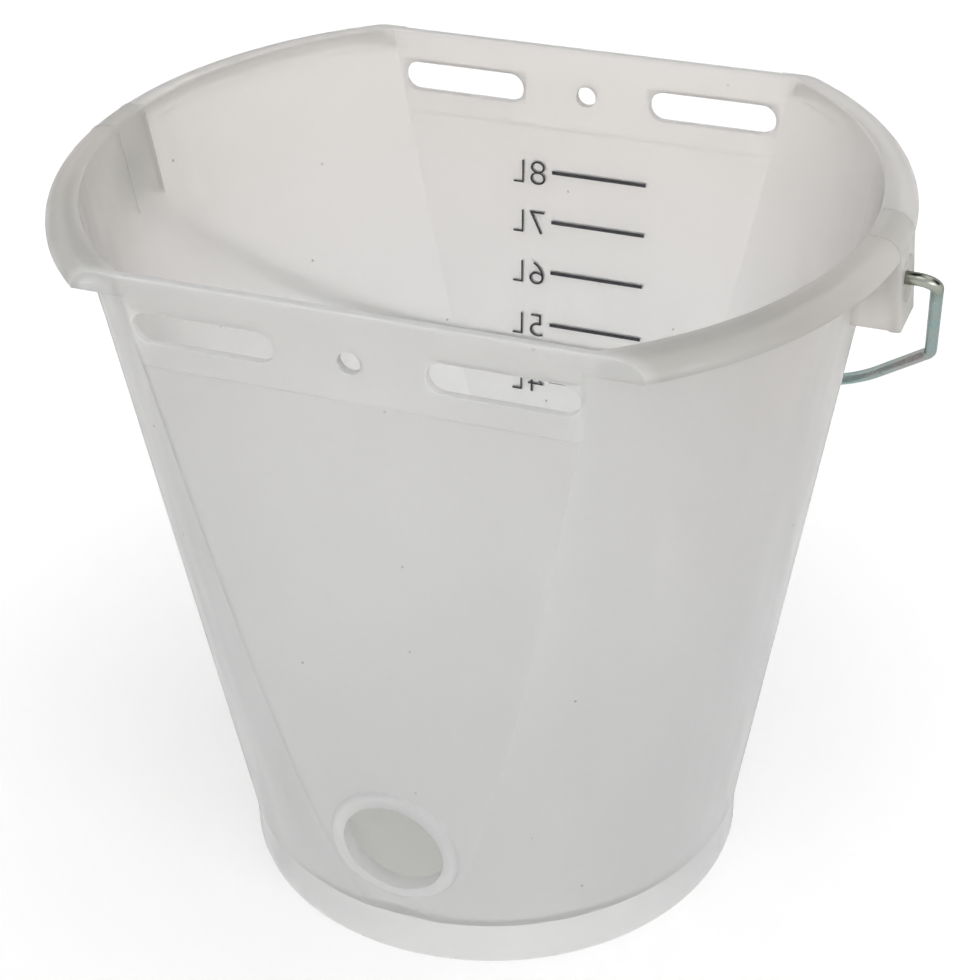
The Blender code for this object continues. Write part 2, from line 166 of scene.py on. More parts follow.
class BucketColours(bpy.types.PropertyGroup):
    """Colours and finishes."""
    plastic: colour("Plastic", "Natural plastic", (0.98, 0.98, 0.975))
    plastic_roughness: share("Plastic roughness", "Roughness of the moulded surface", 0.40)
    plastic_clearness: share("Clearness", "How much light passes straight through the wall", 0.65)
    zinc: colour("Zinc", "Zinc plating", (0.385, 0.418, 0.402))
    zinc_roughness: share("Zinc roughness", "Roughness of the plating", 0.22)
    ink: colour("Ink", "Printed ink", (0.042, 0.042, 0.047))
    floor: colour("Floor", "Studio floor", (0.90, 0.90, 0.90))


def body_sizes():
    return bpy.context.scene.bucket_body


def rim_sizes():
    return bpy.context.scene.bucket_rim


def hole_sizes():
    return bpy.context.scene.bucket_holes


def bail_sizes():
    return bpy.context.scene.bucket_bail


def colours():
    return bpy.context.scene.bucket_colours


def cone_at(z):
    """Outer radius of the wall at a height."""
    sizes = body_sizes()
    return sizes.cone_radius + (sizes.cone_top_radius - sizes.cone_radius) * z / sizes.height


def flat_taper():
    """How much further out a flat side is for each metre of height."""
    sizes = body_sizes()
    return (sizes.flat_top_distance - sizes.flat_distance) / sizes.height


def flat_at(z):
    """Distance of a flat side from the middle at a height."""
    return body_sizes().flat_distance + flat_taper() * z


def hinge_height():
    return body_sizes().height - bail_sizes().axis_drop


def rim_bottom():
    """Height of the rim's lower edge."""
    return body_sizes().height - rim_sizes().radius - rim_sizes().skirt


def ear_span():
    """Heights of an ear's lower and upper edge."""
    rim, height = rim_sizes(), body_sizes().height
    return height - rim.ear_depth, height - rim.radius + rim.skirt


def ear_reach():
    """From the middle to the lower edge of an ear's plate."""
    rim = rim_sizes()
    return body_sizes().cone_top_radius + rim.offset + rim.radius + rim.ear_stand


# Mesh helpers

def faces_out(bm):
    """Join corners that meet, and turn all faces outward."""
    bmesh.ops.remove_doubles(bm, verts=bm.verts, dist=SNAP)
    bmesh.ops.recalc_face_normals(bm, faces=bm.faces)


def as_object(name, bm):
    """Make an object at the origin from a bmesh, which is then freed."""
    mesh = bpy.data.meshes.new(name)
    bm.to_mesh(mesh)
    bm.free()
    made = bpy.data.objects.new(name, mesh)
    bpy.context.scene.collection.objects.link(made)
    return made


def absorb(whole, bm):
    """Add a form to a larger one, and free it."""
    mesh = bpy.data.meshes.new("part")
    bm.to_mesh(mesh)
    bm.free()
    whole.from_mesh(mesh)
    bpy.data.meshes.remove(mesh)


def mirrored(bm):
    """Add the mirror image of a closed form across the YZ plane."""
    mesh = bpy.data.meshes.new("image")
    bm.to_mesh(mesh)
    twin = bmesh.new()
    twin.from_mesh(mesh)
    bpy.data.meshes.remove(mesh)
    bmesh.ops.scale(twin, vec=(-1, 1, 1), verts=twin.verts)
    bmesh.ops.reverse_faces(twin, faces=twin.faces)
    absorb(bm, twin)
    return bm


def of_kind(items, kind):
    """The corners, edges or faces among what an operation gives back."""
    return [item for item in items if isinstance(item, kind)]


def edges_at(bm, z):
    """The edges that lie at one height."""
    return [edge for edge in bm.edges if all(abs(vert.co.z - z) < SNAP for vert in edge.verts)]


def edge_span(edge, axis):
    """How far an edge reaches along an axis, 0 for X, 1 for Y and 2 for Z."""
    return abs(edge.verts[0].co[axis] - edge.verts[1].co[axis])


def sharp_edges(bm, degrees):
    """The edges whose two faces meet at more than an angle."""
    return [edge for edge in bm.edges if edge.calc_face_angle(0.0) > math.radians(degrees)]


def cut_away(bm, point, normal):
    """Cut off what lies on the normal's side of a plane, close the cut and return its faces."""
    parts = bm.verts[:] + bm.edges[:] + bm.faces[:]
    cut = bmesh.ops.bisect_plane(bm, geom=parts, plane_co=point, plane_no=normal, dist=1e-7,
                                 clear_outer=True)["geom_cut"]
    return bmesh.ops.holes_fill(bm, edges=of_kind(cut, BMEdge), sides=0)["faces"]


def round_edges(bm, edges, width, segments):
    return bmesh.ops.bevel(bm, geom=edges, offset=width, offset_type="OFFSET", segments=segments,
                           profile=0.5, affect="EDGES", clamp_overlap=True, material=-1)


def side_plane(offset, side):
    """A point and the outward normal of a flat side's plane, moved out by offset."""
    distance = body_sizes().flat_distance + offset
    return Vector((0, side * distance, 0)), Vector((0, side, -flat_taper())).normalized()


def wall_form(low, high, round_out, offset, foot_round=0.0, foot_steps=3):
    """A closed length of the wall's form, moved out by one amount round it and one at the flats."""
    bm = bmesh.new()
    bmesh.ops.create_cone(bm, cap_ends=True, cap_tris=False, segments=ROUND_STEPS,
                          radius1=cone_at(low) + round_out, radius2=cone_at(high) + round_out,
                          depth=high - low, matrix=Matrix.Translation((0, 0, (low + high) / 2)))
    flats = []
    for side in (-1, 1):
        flats += cut_away(bm, *side_plane(offset, side))
    creases = [edge for face in flats for edge in face.edges if edge_span(edge, 2) > 1e-5]
    round_edges(bm, creases, body_sizes().crease, 4)
    if foot_round:
        round_edges(bm, edges_at(bm, low), foot_round, foot_steps)
    faces_out(bm)
    return bm


def grow(bm, face, amount, rise):
    """Extrude a level face upward while its outline moves out, and return the new face."""
    made = bmesh.ops.extrude_face_region(bm, geom=[face])["geom"]
    top = of_kind(made, BMFace)[0]
    moves = []
    for corner in top.loops:
        before = (corner.vert.co - corner.link_loop_prev.vert.co).normalized().cross(UP)
        after = (corner.link_loop_next.vert.co - corner.vert.co).normalized().cross(UP)
        out = (before + after).normalized()
        moves.append((corner.vert, out * (amount / out.dot(before)) + UP * rise))
    for vert, move in moves:
        vert.co += move
    bmesh.ops.delete(bm, geom=[face], context="FACES_ONLY")
    return top


def along_x(x, z):
    """A place at (x, 0, z) whose own +Z points along +X."""
    return Matrix.Translation((x, 0, z)) @ Matrix.Rotation(math.pi / 2, 4, "Y")


def drum(radius, depth, place, steps, top=None):
    """A closed cylinder or cone standing at a place, with its axis along that place's +Z."""
    bm = bmesh.new()
    bmesh.ops.create_cone(bm, cap_ends=True, cap_tris=False, segments=steps, radius1=radius,
                          radius2=top or radius, depth=depth,
                          matrix=place @ Matrix.Translation((0, 0, depth / 2)))
    return bm


def box_form(low, high):
    """A closed box between two corners."""
    low, high = Vector(low), Vector(high)
    bm = bmesh.new()
    scale = Matrix.Diagonal((*(high - low), 1.0))
    bmesh.ops.create_cube(bm, size=1.0, matrix=Matrix.Translation((low + high) / 2) @ scale)
    return bm


def sheet(name, size):
    """A flat square at the origin."""
    bm = bmesh.new()
    bmesh.ops.create_grid(bm, x_segments=1, y_segments=1, size=size)
    return as_object(name, bm)


def spun_section(outline):
    """Spin a closed outline of (radius, height) corners once round Z."""
    bm = bmesh.new()
    first = bm.verts.new((outline[0][0], 0.0, outline[0][1]))
    corner = first
    edges = []
    for radius, z in outline[1:]:
        made = bmesh.ops.extrude_vert_indiv(bm, verts=[corner])
        corner = made["verts"][0]
        corner.co = (radius, 0.0, z)
        edges += made["edges"]
    edges.append(bm.edges.new((corner, first)))
    bmesh.ops.spin(bm, geom=bm.verts[:] + bm.edges[:], cent=(0, 0, 0), axis=UP,
                   angle=math.tau, steps=ROUND_STEPS, use_merge=True)
    faces_out(bm)
    return bm


def half_round(inner, outer, foot, top, steps):
    """The outline of an arch over a flat foot, from its outer side over to its inner side."""
    middle, half = (inner + outer) / 2, (outer - inner) / 2
    return [(middle + half * math.cos(math.pi * i / steps),
             foot + (top - foot) * math.sin(math.pi * i / steps)) for i in range(steps + 1)]


def combine(body, bm, operation, name):
    """Add a form to the body, or cut it out of the body."""
    other = as_object(name, bm)
    step = body.modifiers.new(name, "BOOLEAN")
    step.object = other
    step.operation = operation
    step.solver = "EXACT"
    settle(body)
    old = other.data
    bpy.data.objects.remove(other, do_unlink=True)
    bpy.data.meshes.remove(old)
    bm = bmesh.new()
    bm.from_mesh(body.data)
    bmesh.ops.remove_doubles(bm, verts=bm.verts, dist=4e-6)
    bmesh.ops.dissolve_degenerate(bm, edges=bm.edges, dist=SNAP)
    bm.to_mesh(body.data)
    bm.free()


def settle(piece):
    """Write what the modifiers make into the piece's own mesh."""
    graph = bpy.context.evaluated_depsgraph_get()
    graph.update()
    made = bpy.data.meshes.new_from_object(piece.evaluated_get(graph))
    old = piece.data
    piece.modifiers.clear()
    piece.data = made
    made.name = piece.name
    bpy.data.meshes.remove(old)


def soften(body, pick, width):
    """Round the sharp edges of the body that a test picks by their middle point."""
    bm = bmesh.new()
    bm.from_mesh(body.data)
    bmesh.ops.dissolve_limit(bm, angle_limit=math.radians(0.05), verts=bm.verts, edges=bm.edges)
    edges = [edge for edge in bm.edges
             if len(edge.link_faces) == 2 and edge.calc_face_angle_signed(0.0) > math.radians(50)
             and pick((edge.verts[0].co + edge.verts[1].co) / 2)]
    round_edges(bm, edges, width, 2)
    bm.to_mesh(body.data)
    bm.free()


def smooth(piece, angle):
    """Smooth shading with sharp edges above an angle, led by the large faces."""
    piece.data.shade_smooth()
    piece.data.set_sharp_from_angle(angle=math.radians(angle))
    step = piece.modifiers.new("weighted", "WEIGHTED_NORMAL")
    step.keep_sharp = True
    step.weight = 80
    settle(piece)


# The moulded body

BEYOND = 0.01  # how far a cutting form reaches past what it cuts
FOOT_ROUND = 0.0009  # under the foot
WALL_FOOT_ROUND = 0.0012  # where the wall overhangs the foot
BAND_FOOT_CHAMFER = 0.0011  # under the band
LIP_OUTER_ROUND = 0.0008
RIM_END_ROUND = 0.0006  # round the two half-moon ends of each rim
RIM_LEDGE = 0.0009  # between the cone and the hollow of the rim
RIDGE_WIDTH = 0.0008
EAR_EDGE_ROUND = 0.0004
WIRE_CLEARANCE = 0.0004
SINK_DEPTH = 0.0004
SINK_DROP = 0.0025  # from the lip down to the start of a sink line


def wall_and_band():
    sizes = body_sizes()
    band_low = sizes.height - sizes.band_depth
    foot_radius = cone_at(sizes.foot_height) - sizes.foot_nick
    foot = drum(foot_radius, sizes.foot_height + 0.0002, Matrix.Identity(4), ROUND_STEPS)
    round_edges(foot, edges_at(foot, 0.0), FOOT_ROUND, 3)
    body = as_object("moulded_body", foot)
    wall = wall_form(sizes.foot_height, band_low + 0.004, 0.0, 0.0, WALL_FOOT_ROUND)
    combine(body, wall, "UNION", "wall")
    top = sizes.height - 0.00002
    band = wall_form(band_low, top, 0.0001, sizes.band_step)
    round_edges(band, edges_at(band, band_low), BAND_FOOT_CHAMFER, 1)
    round_edges(band, edges_at(band, top), LIP_OUTER_ROUND, 4)
    combine(body, band, "UNION", "band")
    return body


def rim_outline(extra):
    """The rim's section: skirt, quarter round, and a level top in to the lip."""
    sizes, rim = body_sizes(), rim_sizes()
    centre = sizes.cone_top_radius + rim.offset
    low = rim_bottom()
    inner = cone_at(low) - 0.0006
    outer, top = centre + rim.radius + extra, sizes.height + extra
    arc = half_round(centre - rim.radius - extra, outer, sizes.height - rim.radius, top, 24)[:13]
    return [(inner, low), (outer, low)] + arc + [(inner, top)]


def rim_ridges():
    """Fine ridges over the rim, one above each web of the ears."""
    rim = rim_sizes()
    whole = bmesh.new()
    for side in (-1, 1):
        bm = spun_section(rim_outline(rim.ridge))
        far = side * rim.ear_width / 2
        near = side * (rim.ear_width / 2 - RIDGE_WIDTH)
        cut_away(bm, Vector((0, far, 0)), Vector((0, side, 0)))
        cut_away(bm, Vector((0, near, 0)), Vector((0, -side, 0)))
        cut_away(bm, Vector((0.1, 0, 0)), Vector((-1, 0, 0)))
        absorb(whole, bm)
    return mirrored(whole)


def rim_ring():
    sizes = body_sizes()
    bm = spun_section(rim_outline(0.0))
    ends = []
    for side in (-1, 1):
        ends += cut_away(bm, *side_plane(sizes.band_step + 0.00004, side))
    low = rim_bottom() + 1e-5
    around = [edge for end in ends for edge in end.edges
              if min(vert.co.z for vert in edge.verts) > low
              and max(vert.co.to_2d().length for vert in edge.verts) > sizes.cone_top_radius]
    round_edges(bm, around, RIM_END_ROUND, 3)
    return bm


def rim_hollows():
    """The hollow under the rim, in four lengths between the end walls and the ears."""
    sizes, rim = body_sizes(), rim_sizes()
    low = rim_bottom()
    inner = cone_at(low) + RIM_LEDGE
    outer = sizes.cone_top_radius + rim.offset + rim.radius - rim.shell
    outline = [(inner, low - BEYOND), (outer, low - BEYOND)]
    outline += half_round(inner, outer, low, sizes.height - rim.shell, 16)
    whole = bmesh.new()
    for side in (-1, 1):
        bm = spun_section(outline)
        cut_away(bm, *side_plane(sizes.band_step - rim.end_skin, side))
        cut_away(bm, Vector((0, side * rim.ear_width / 2, 0)), Vector((0, -side, 0)))
        absorb(whole, bm)
    return whole


def ear_blocks(plate):
    """The plates of both ears, or the blocks behind them that the webs are cut from."""
    rim = rim_sizes()
    low, top = ear_span()
    if plate:
        reach, half = ear_reach(), rim.ear_width / 2
        root = reach - rim.ear_plate
    else:
        reach, half = ear_reach() - 0.0006, rim.ear_width / 2 - rim.web_inset
        root = cone_at(low) - body_sizes().wall / 2
    behind = root + 0.002
    bm = box_form((root, -half, low), (reach, half, top))
    corners = [edge for edge in bm.edges if edge_span(edge, 2) > 1e-4
               and all(abs(vert.co.x - reach) < SNAP for vert in edge.verts)]
    round_edges(bm, corners, rim.ear_corner, 6)
    for vert in bm.verts:
        if plate or vert.co.x > behind:
            vert.co.x -= rim.ear_lean * (vert.co.z - low) / (top - low)
    faces_out(bm)
    around = [edge for edge in sharp_edges(bm, 60)
              if (edge.verts[0].co + edge.verts[1].co).x / 2 > behind]
    round_edges(bm, around, EAR_EDGE_ROUND, 2)
    return mirrored(bm)


def ear_hollows():
    """The space between the webs, behind the plate, open below."""
    sizes, rim = body_sizes(), rim_sizes()
    half = rim.ear_width / 2 - rim.ear_web
    foot = rim_bottom()
    inner = cone_at(foot) + RIM_LEDGE
    plate = ear_reach() - rim.ear_plate
    bm = box_form((inner, -half, sizes.height - rim.ear_depth - BEYOND),
                  (plate, half, sizes.height - rim.shell))
    top = [edge for edge in bm.edges if edge_span(edge, 1) > 1e-4
           and all(vert.co.z > foot for vert in edge.verts)]
    round_edges(bm, top, (plate - inner) / 2 - 0.0001, 8)
    for vert in bm.verts:
        if vert.co.z < foot and vert.co.x < inner + 1e-5:
            vert.co.x = cone_at(vert.co.z) + 0.0003
    faces_out(bm)
    return mirrored(bm)


def sink_lines():
    """Fine grooves inside the wall where the webs of the ears meet it outside."""
    sizes, rim = body_sizes(), rim_sizes()
    whole = bmesh.new()
    for side in (-1, 1):
        y = side * (rim.ear_width - rim.ear_web) / 2
        bm = box_form((0.0, y - rim.sink / 2, sizes.height - rim.ear_depth),
                      (1.0, y + rim.sink / 2, sizes.height - SINK_DROP))
        for vert in bm.verts:
            face = math.sqrt((cone_at(vert.co.z) - sizes.wall) ** 2 - y * y)
            vert.co.x = face + (SINK_DEPTH if vert.co.x > 0.5 else -0.002)
        absorb(whole, bm)
    return mirrored(whole)


def wire_holes():
    plate = rim_sizes().ear_plate
    place = along_x(ear_reach() - 2 * plate, hinge_height())
    return mirrored(drum(bail_sizes().wire / 2 + WIRE_CLEARANCE, 3 * plate, place, 40))


def ear_recesses():
    rim = rim_sizes()
    height = hinge_height()
    low, top = ear_span()
    face = ear_reach() - rim.ear_lean * (height - low) / (top - low)
    bm = drum(rim.recess_diameter / 2, BEYOND, along_x(face - rim.recess_depth, height), 56)
    floor = min(bm.faces, key=lambda item: item.calc_center_median().x)
    bmesh.ops.inset_region(bm, faces=[floor],
                           thickness=(rim.recess_diameter - rim.collar_diameter) / 2)
    inner = min((item for item in bm.faces if len(item.verts) > 8),
                key=lambda item: item.calc_center_median().x + item.calc_area())
    bmesh.ops.inset_region(bm, faces=[inner], thickness=0.0003)
    bmesh.ops.translate(bm, verts=inner.verts, vec=(rim.collar_height, 0, 0))
    faces_out(bm)
    return mirrored(bm)


def slot_forms():
    """The four slots and the two holes between them, right through front and back."""
    holes = hole_sizes()
    height = body_sizes().height - holes.slot_drop
    past = 0.125
    whole = bmesh.new()
    for side in (-1, 1):
        middle = side * holes.slot_spacing / 2
        bm = box_form((middle - holes.slot_length / 2, -past, height - holes.slot_width / 2),
                      (middle + holes.slot_length / 2, past, height + holes.slot_width / 2))
        ends = [edge for edge in bm.edges if edge_span(edge, 1) > 0.1]
        round_edges(bm, ends, holes.slot_width / 2 - 0.00005, 12)
        absorb(whole, bm)
    lying = Matrix.Translation((0, past, height)) @ Matrix.Rotation(math.pi / 2, 4, "X")
    absorb(whole, drum(holes.hole_diameter / 2, 2 * past, lying, 40))
    return whole


def teat_place(depth):
    """A place on the front's outer face at the teat hole, moved out by depth, +Z outward."""
    height = hole_sizes().teat_height
    normal = Vector((0, -1, -flat_taper())).normalized()
    centre = Vector((0, -flat_at(height), height)) + normal * depth
    return Matrix.Translation(centre) @ normal.to_track_quat("Z", "Y").to_matrix().to_4x4()


def teat_ring():
    holes = hole_sizes()
    sunk = body_sizes().wall + holes.ring_in
    radius = holes.ring_diameter / 2
    bm = drum(radius + 0.0005, sunk + holes.ring_out, teat_place(-sunk), 120,
              radius - holes.ring_slope)
    round_edges(bm, sharp_edges(bm, 45), holes.ring_chamfer, 6)
    faces_out(bm)
    return bm


def mouth_and_inside():
    """The space inside the bucket, which widens at the mouth to round the lip."""
    sizes = body_sizes()
    cavity = wall_form(sizes.floor_top, sizes.height - sizes.lip_round, -sizes.wall, -sizes.wall,
                       sizes.floor_fillet, 6)
    mouth = max(cavity.faces, key=lambda face: face.calc_center_median().z)
    for step in range(6):
        low, high = math.radians(15 * step), math.radians(15 * (step + 1))
        mouth = grow(cavity, mouth, sizes.lip_round * (math.cos(low) - math.cos(high)),
                     sizes.lip_round * (math.sin(high) - math.sin(low)))
    grow(cavity, mouth, 0.0, BEYOND)
    faces_out(cavity)
    return cavity


def foot_well():
    sizes = body_sizes()
    radius = cone_at(sizes.foot_height) - sizes.foot_nick - sizes.foot_wall
    depth = sizes.floor_top - sizes.floor_thickness + BEYOND
    return drum(radius, depth, Matrix.Translation((0, 0, -BEYOND)), ROUND_STEPS)


def mould_body():
    sizes, holes = body_sizes(), hole_sizes()
    body = wall_and_band()
    combine(body, rim_ring(), "UNION", "rim")
    combine(body, ear_blocks(False), "UNION", "ear_webs")
    combine(body, ear_blocks(True), "UNION", "ear_plates")
    combine(body, rim_ridges(), "UNION", "rim_ridges")
    combine(body, mouth_and_inside(), "DIFFERENCE", "cavity")
    combine(body, teat_ring(), "UNION", "teat_ring")
    for form in (foot_well, rim_hollows, ear_hollows, wire_holes, ear_recesses, sink_lines,
                 slot_forms):
        combine(body, form(), "DIFFERENCE", form.__name__)
    combine(body, drum(holes.teat_diameter / 2, 0.04, teat_place(-0.02), 96), "DIFFERENCE",
            "teat_bore")
    slots = sizes.height - holes.slot_drop
    soften(body, lambda middle: abs(middle.z - slots) < holes.slot_width / 2 + 0.0004
           and abs(middle.y) > 0.1 and abs(middle.x) < 0.0765, holes.edge_round)
    smooth(body, 32)
    return body


# Materials

def new_material(name):
    made = bpy.data.materials.new(name)
    made.use_nodes = True
    return made, made.node_tree, made.node_tree.nodes["Principled BSDF"]


def set_inputs(tree, node, values):
    """Set a node's inputs to plain values, or link them to the outputs of other nodes."""
    for name, value in values.items():
        if isinstance(value, bpy.types.NodeSocket):
            tree.links.new(value, node.inputs[name])
        else:
            node.inputs[name].default_value = value


def add_node(tree, kind, values, **settings):
    """Add a node with its settings and inputs, and return its outputs."""
    node = tree.nodes.new("ShaderNode" + kind)
    for name, value in settings.items():
        setattr(node, name, value)
    set_inputs(tree, node, values)
    return node.outputs


def object_pattern(tree, scale=(1.0, 1.0, 1.0), location=(0.0, 0.0, 0.0)):
    """Object coordinates, scaled and moved, for a pattern that stays on the piece."""
    place = add_node(tree, "TexCoord", {})["Object"]
    values = {"Vector": place, "Scale": scale, "Location": location}
    return add_node(tree, "Mapping", values)["Vector"]


def noise(tree, vector, scale, detail, roughness=0.5):
    values = {"Vector": vector, "Scale": scale, "Detail": detail, "Roughness": roughness}
    return add_node(tree, "TexNoise", values)["Fac"]


def ramp(tree, value, stops):
    node = tree.nodes.new("ShaderNodeValToRGB")
    band = node.color_ramp
    while len(band.elements) < len(stops):
        band.elements.new(0.5)
    for element, (place, tint) in zip(band.elements, stops):
        element.position = place
        element.color = (*tint, 1.0)
    set_inputs(tree, node, {"Fac": value})
    return node.outputs["Color"]


def spread(tree, value, low, high, start=0.0, end=1.0):
    """A value that goes from low at the start to high at the end."""
    values = {"Value": value, "From Min": start, "From Max": end, "To Min": low, "To Max": high}
    return add_node(tree, "MapRange", values)["Result"]


def mask(tree, value, empty, full):
    """A mask that is 0 where a value is empty and 1 where it is full."""
    if empty < full:
        return spread(tree, value, 0.0, 1.0, empty, full)
    return spread(tree, value, 1.0, 0.0, full, empty)


def calc(tree, operation, *values):
    """Reckon with outputs of other nodes and plain numbers."""
    return add_node(tree, "Math", dict(enumerate(values)), operation=operation)[0]


def overlap(tree, at, masks):
    """A mask of where several masks meet, each the name of a value, its empty and its full."""
    total = None
    for name, empty, full in masks:
        part = mask(tree, at[name], empty, full)
        total = calc(tree, "MULTIPLY", total, part) if total else part
    return total


def vector_calc(tree, operation, *values):
    return add_node(tree, "VectorMath", dict(enumerate(values)), operation=operation)[0]


def how_far(tree, vector):
    """The length of a vector."""
    return add_node(tree, "VectorMath", {0: vector}, operation="LENGTH")["Value"]


def mixed(tree, factor, value, tint, blend="MULTIPLY"):
    """A colour multiplied by a tint, or mixed with it, as far as the factor says."""
    values = {"Factor": factor, "A": value, "B": (*tint, 1.0)}
    return add_node(tree, "Mix", values, data_type="RGBA", blend_type=blend)["Result"]


def raise_surface(tree, shader, height, strength, distance):
    values = {"Height": height, "Strength": strength, "Distance": distance}
    set_inputs(tree, shader, {"Normal": add_node(tree, "Bump", values)["Normal"]})


RIM_START = (0.1365, 0.1405)  # out from the middle

# The plastic's tints: the values that bound each, with where they are empty and full
TINTS = (
    # Above and behind the plastic is painted a little warmer: painted warm light from above
    ((1.0, 0.958, 0.93), (("z", 0.12, 0.24), ("y", -0.10, -0.02))),
    # The front half of the thick rim is painted a little darker: painted shade
    ((0.80, 0.795, 0.775), (("reach", *RIM_START), ("y", 0.02, -0.07), ("y", -0.1138, -0.1105))),
    # The inside floor is in the shade of the foot
    ((0.94, 0.95, 0.92), (("z", 0.0235, 0.020), ("reach", 0.093, 0.088))),
    # Painted shade beside each ear, darker and greener, where a bail's head lies behind the wall
    ((0.84, 0.88, 0.86), (("hinge", 0.016, 0.003), ("reach", 0.1369, 0.1364))),
    # Between its webs an ear is hollow, and there it is painted a little darker and greener:
    # painted shade
    ((0.90, 0.925, 0.90), (("across", 0.0102, 0.0096), ("reach", 0.1405, 0.1420))),
    # High up the front is painted a little darker: painted shade
    ((0.915, 0.91, 0.90), (("y", -0.01, -0.06), ("z", 0.10, 0.26))),
)
SPECK_TINT = (0.30, 0.30, 0.27)
SHADE_OFFSET = 0.010  # how far in front of the hinge axis a head's shade lies

# How clear the plastic is where it is thick or cut
RING_CLEARNESS = 0.52
RIM_CLEARNESS = 0.50
LIP_CLEARNESS = 0.32
COLLAR_CLEARNESS = 0.52
SLOT_CLEARNESS = 0.30


def plastic_places(tree):
    """Where on the bucket a point lies, as the values that the masks start from."""
    wide = object_pattern(tree)
    parts = add_node(tree, "SeparateXYZ", {0: wide})
    beside = object_pattern(tree, (0.0, 1.0, 1.0), (0.0, SHADE_OFFSET, -hinge_height()))
    return {"wide": wide, "x": parts["X"], "y": parts["Y"], "z": parts["Z"],
            "across": calc(tree, "ABSOLUTE", parts["Y"]),
            "reach": how_far(tree, object_pattern(tree, (1.0, 1.0, 0.0))),
            "hinge": how_far(tree, beside)}


def specks(tree, at):
    """A mask of sparse specks, laid out on the unrolled wall."""
    turn = calc(tree, "ARCTAN2", at["y"], at["x"])
    upward = calc(tree, "DIVIDE", at["z"], 0.12)
    unrolled = add_node(tree, "CombineXYZ", {"X": turn, "Y": upward})[0]
    cells = add_node(tree, "TexVoronoi", {"Vector": unrolled, "Scale": 2.3},
                     voronoi_dimensions="2D")
    kinds = add_node(tree, "SeparateXYZ", {0: cells["Color"]})
    return overlap(tree, {"off": cells["Distance"], "kind": kinds["X"]},
                   (("off", 0.014, 0.006), ("kind", 0.35, 0.95)))


def plastic_colour(tree, at, cloud):
    base = Vector(colours().plastic)
    tinted = ramp(tree, cloud, [(0.3, base * 0.985), (0.7, base)])
    for tint, masks in TINTS:
        tinted = mixed(tree, overlap(tree, at, masks), tinted, tint)
    return mixed(tree, specks(tree, at), tinted, SPECK_TINT)


def slot_lining(tree, wide):
    """A mask of the cut faces inside the slots."""
    holes = hole_sizes()
    middle = (holes.slot_spacing / 2, 0.0, body_sizes().height - holes.slot_drop)
    off = vector_calc(tree, "SUBTRACT", vector_calc(tree, "ABSOLUTE", wide), middle)
    parts = add_node(tree, "SeparateXYZ", {0: vector_calc(tree, "ABSOLUTE", off)})
    return overlap(tree, parts, [(axis, size / 2 + 0.0007, size / 2 + 0.0002) for axis, size
                                 in (("X", holes.slot_length), ("Z", holes.slot_width))])


def plastic_clearness(tree, at):
    """How clear the plastic is, which is less where it is thick or cut."""
    clear = colours().plastic_clearness
    ring = how_far(tree, object_pattern(tree, location=-teat_place(0.0).translation))
    least = spread(tree, ring, RING_CLEARNESS, clear, 0.0255, 0.031)
    lip = overlap(tree, at, (("z", 0.2780, 0.2790), ("across", 0.1075, 0.1085)))
    for value in (spread(tree, at["reach"], clear, RIM_CLEARNESS, *RIM_START),
                  spread(tree, lip, clear, LIP_CLEARNESS),
                  spread(tree, at["hinge"], COLLAR_CLEARNESS, clear, 0.014, 0.022),
                  spread(tree, slot_lining(tree, at["wide"]), clear, SLOT_CLEARNESS)):
        least = calc(tree, "MINIMUM", least, value)
    return least


def natural_plastic():
    """Milky natural plastic: light passes through it, and what touches it shows through."""
    rough = colours().plastic_roughness
    made, tree, shader = new_material("natural_plastic")
    at = plastic_places(tree)
    cloud = noise(tree, at["wide"], 14.0, 3.0)
    # Handling has left long faint scuffs up and down the wall
    scuffs = noise(tree, object_pattern(tree, (110.0, 110.0, 9.0)), 1.0, 4.0, 0.6)
    set_inputs(tree, shader, {
        "Base Color": plastic_colour(tree, at, cloud),
        "Roughness": spread(tree, scuffs, rough - 0.05, rough + 0.09, 0.35, 0.70),
        "IOR": 1.49,
        "Transmission Weight": plastic_clearness(tree, at),
        "Subsurface Weight": 1.0,
        "Subsurface Radius": (1.0, 1.0, 1.0),
        "Subsurface Scale": 0.006,
    })
    raise_surface(tree, shader, cloud, 0.05, 0.0004)
    return made


def zinc_wire():
    """Bright zinc plating with a blue-green and faintly pink cast along the wire."""
    rough = colours().zinc_roughness
    made, tree, shader = new_material("zinc_plated_wire")
    cast = noise(tree, object_pattern(tree), 45.0, 3.0)
    base = Vector(colours().zinc)
    pink, teal = (Vector([part * share for part, share in zip(base, shares)])
                  for shares in ((1.12, 0.95, 0.97), (0.88, 1.02, 1.03)))
    along = ramp(tree, cast, [(0.35, teal), (0.5, base), (0.66, pink)])
    # Beside each ear the wire is painted a darker olive grey: a painted dark reflection of the
    # surroundings
    apart = how_far(tree, object_pattern(tree, (0.0, 1.0, 1.0), (0.0, 0.0, -hinge_height())))
    painted_dark_reflection = mask(tree, apart, 0.016, 0.005)
    fine = noise(tree, object_pattern(tree, (300.0, 300.0, 300.0)), 1.0, 4.0)
    set_inputs(tree, shader, {
        "Base Color": mixed(tree, painted_dark_reflection, along, (0.30, 0.31, 0.27), "MIX"),
        "Specular Tint": (0.42, 0.48, 0.475, 1.0),
        "Roughness": spread(tree, fine, rough - 0.05, rough + 0.08, 0.3, 0.7),
        "Metallic": 1.0,
    })
    raise_surface(tree, shader, fine, 0.15, 0.00005)
    return made


def scale_ink():
    made, tree, shader = new_material("scale_ink")
    fine = noise(tree, object_pattern(tree), 900.0, 3.0)
    base = Vector(colours().ink)
    set_inputs(tree, shader, {"Base Color": ramp(tree, fine, [(0.3, base), (0.8, base * 1.8)]),
                              "Roughness": 0.6})
    return made


# The printed scale

